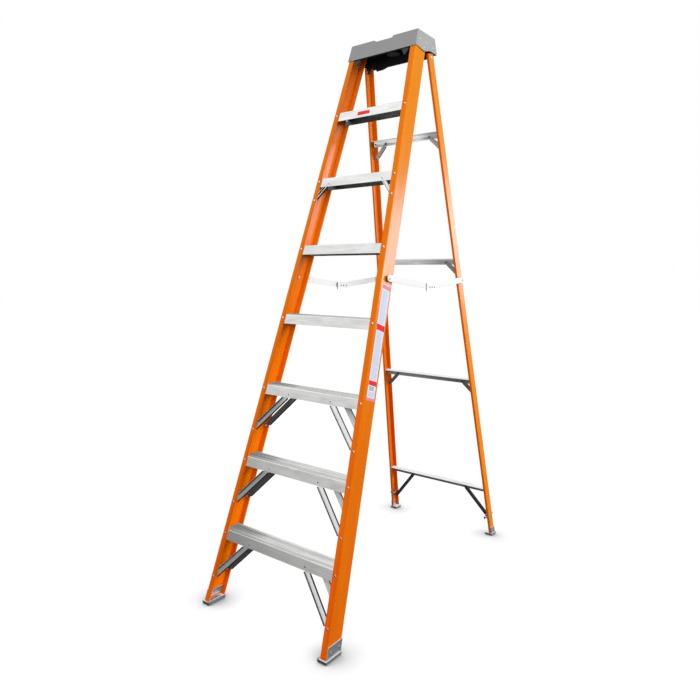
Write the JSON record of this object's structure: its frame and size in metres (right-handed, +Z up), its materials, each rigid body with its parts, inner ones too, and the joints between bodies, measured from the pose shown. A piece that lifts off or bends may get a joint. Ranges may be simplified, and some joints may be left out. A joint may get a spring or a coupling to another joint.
{
  "type": "step ladder",
  "caption": "Free-standing folding step ladder with channel rails, braced treads, a moulded cap, a hinged rear frame and folding locking spreaders.",
  "frame": {"origin": "on the floor at the middle of the footprint of the open ladder", "axes": "+Z up, +X to the right seen from the climbing side, +Y towards the rear frame"},
  "size_m": [0.65, 1.41, 2.338],
  "materials": {
    "orange_fibreglass": "smooth pultruded fibreglass with a soft sheen",
    "tread_aluminium": "mill finish, ribbed on top",
    "brace_aluminium": "mill finish",
    "bar_aluminium": "mill finish",
    "rivet_steel": "plated",
    "shoe_steel": "galvanised",
    "foot_rubber": "ribbed, matt",
    "cap_grey": "moulded, fine grain",
    "black_plastic": "moulded",
    "band_steel": "galvanised",
    "label_panel": "printed film with plain panels",
    "badge_red": "plain film",
    "spreader_metal": "bright zinc plated"
  },
  "bodies": {
    "front_frame": {"front_rail_left": "orange_fibreglass", "front_rail_right": "orange_fibreglass", "step_1": "tread_aluminium", "step_2": "tread_aluminium", "step_3": "tread_aluminium", "step_4": "tread_aluminium", "step_5": "tread_aluminium", "step_6": "tread_aluminium", "step_7": "tread_aluminium", "step_1_front_braces": "brace_aluminium", "step_2_front_braces": "brace_aluminium", "step_3_front_braces": "brace_aluminium", "step_6_front_braces": "brace_aluminium", "step_1_rear_braces": "brace_aluminium", "step_2_rear_braces": "brace_aluminium", "step_3_rear_braces": "brace_aluminium", "front_flange_rivets": "rivet_steel", "rear_flange_rivets": "rivet_steel", "apron_rivets": "rivet_steel", "front_shoe_left": "shoe_steel", "front_shoe_right": "shoe_steel", "front_pad_left": "foot_rubber", "front_pad_right": "foot_rubber", "front_backing_plates": "shoe_steel", "front_shoe_rivets": "rivet_steel", "cap_shell": "cap_grey", "cap_liner": "black_plastic", "cap_rivets": "rivet_steel", "rear_hinge_pins": "rivet_steel", "spreader_front_spacers": "black_plastic", "spreader_front_pivots": "rivet_steel", "web_label": "label_panel", "step_badge": "badge_red"},
    "rear_frame": {"rear_rail_left": "orange_fibreglass", "rear_rail_right": "orange_fibreglass", "rear_bar_1": "bar_aluminium", "rear_bar_2": "bar_aluminium", "rear_bar_3": "bar_aluminium", "rear_bar_4": "bar_aluminium", "rear_bar_1_braces": "brace_aluminium", "rear_bar_2_braces": "brace_aluminium", "rear_bar_3_braces": "brace_aluminium", "rear_bar_4_braces": "brace_aluminium", "rear_frame_rivets": "rivet_steel", "rear_shoe_left": "shoe_steel", "rear_shoe_right": "shoe_steel", "rear_pad_left": "foot_rubber", "rear_pad_right": "foot_rubber", "rear_shoe_rivets": "rivet_steel", "rail_bands": "band_steel", "spreader_rear_spacers": "black_plastic", "spreader_rear_pivots": "rivet_steel"},
    "spreader_front_left": {"spreader_front_bar_left": "spreader_metal"},
    "spreader_front_right": {"spreader_front_bar_right": "spreader_metal", "hinge_plate_right": "spreader_metal", "hinge_rivets_right": "rivet_steel"},
    "spreader_rear_left": {"spreader_rear_bar_left": "spreader_metal", "hinge_plate_left": "spreader_metal", "hinge_rivets_left": "rivet_steel"},
    "spreader_rear_right": {"spreader_rear_bar_right": "spreader_metal"}
  },
  "joints": [
    {"name": "rear_frame_fold", "type": "hinge", "parent": "front_frame", "child": "rear_frame", "pos_m": [0, 0.14849, 2.25691], "axis": [-1, 0, 0], "range_deg": [0, 30.87]},
    {"name": "spreader_front_left_fold", "type": "hinge", "parent": "front_frame", "child": "spreader_front_left", "pos_m": [0, -0.24473, 1.318], "axis": [1, 0, 0], "range_deg": [0, 83.18]},
    {"name": "spreader_rear_left_fold", "type": "hinge", "parent": "rear_frame", "child": "spreader_rear_left", "pos_m": [0, 0.37021, 1.31896], "axis": [-1, 0, 0], "range_deg": [0, 58.47]},
    {"name": "spreader_front_right_fold", "type": "hinge", "parent": "front_frame", "child": "spreader_front_right", "pos_m": [0, -0.24473, 1.318], "axis": [1, 0, 0], "range_deg": [0, 83.18]},
    {"name": "spreader_rear_right_fold", "type": "hinge", "parent": "rear_frame", "child": "spreader_rear_right", "pos_m": [0, 0.37021, 1.31896], "axis": [-1, 0, 0], "range_deg": [0, 58.47]}
  ],
  "couplings": [
    {"joint": "spreader_front_left_fold", "follows": "rear_frame_fold", "ratio": 2.6942},
    {"joint": "spreader_rear_left_fold", "follows": "rear_frame_fold", "ratio": 1.8937},
    {"joint": "spreader_front_right_fold", "follows": "rear_frame_fold", "ratio": 2.6942},
    {"joint": "spreader_rear_right_fold", "follows": "rear_frame_fold", "ratio": 1.8937}
  ]
}
